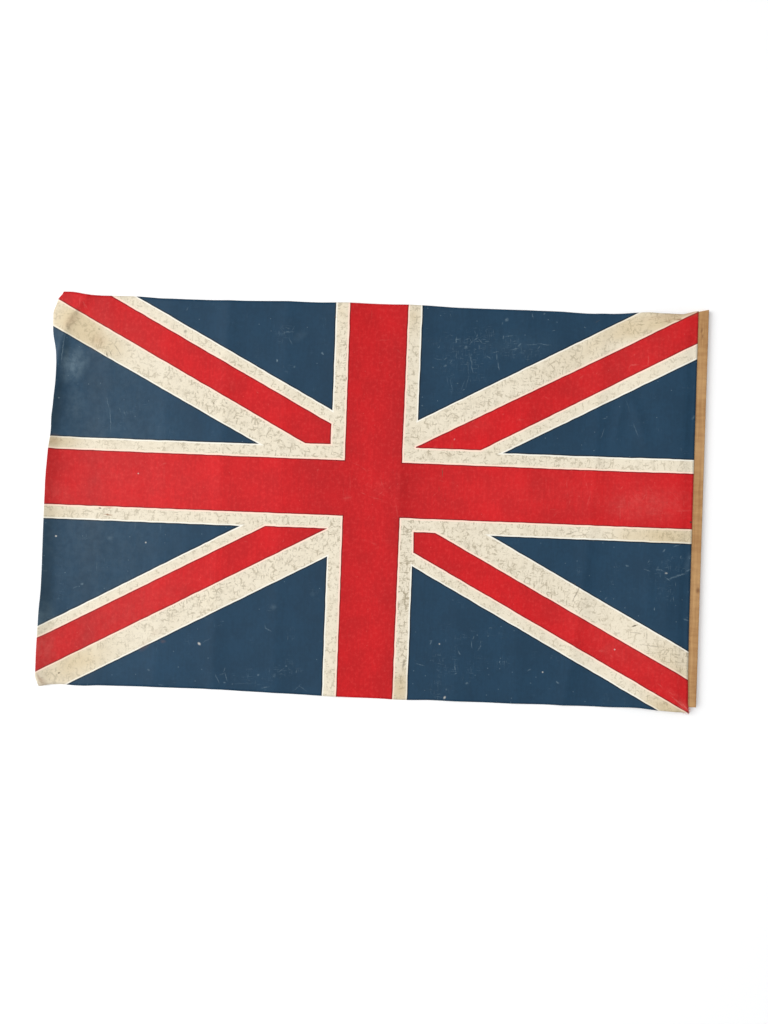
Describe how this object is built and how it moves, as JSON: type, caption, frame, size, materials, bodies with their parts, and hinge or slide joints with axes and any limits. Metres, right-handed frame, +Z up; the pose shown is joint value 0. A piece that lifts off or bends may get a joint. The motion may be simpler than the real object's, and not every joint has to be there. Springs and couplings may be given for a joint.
{
  "type": "worn printed cloth flag on a wooden batten",
  "caption": "Worn painted cotton flag with a red cross and diagonals on blue, lying face up with a curled fly edge, its hoist fixed on a flat wooden batten.",
  "frame": {"origin": "on the floor under the middle of the whole object", "axes": "+X from the free fly edge to the batten at the hoist, +Y across the flag to its top edge, +Z up out of the printed face"},
  "size_m": [0.9216, 0.5606, 0.0115],
  "materials": {
    "cloth": "worn matt paint in red, cream and blue on plain cotton",
    "batten": "planed bare pine, aged",
    "tack": "rusted"
  },
  "bodies": {
    "root": {"cloth": "cloth", "batten": "batten", "tack": "tack"}
  },
  "joints": []
}
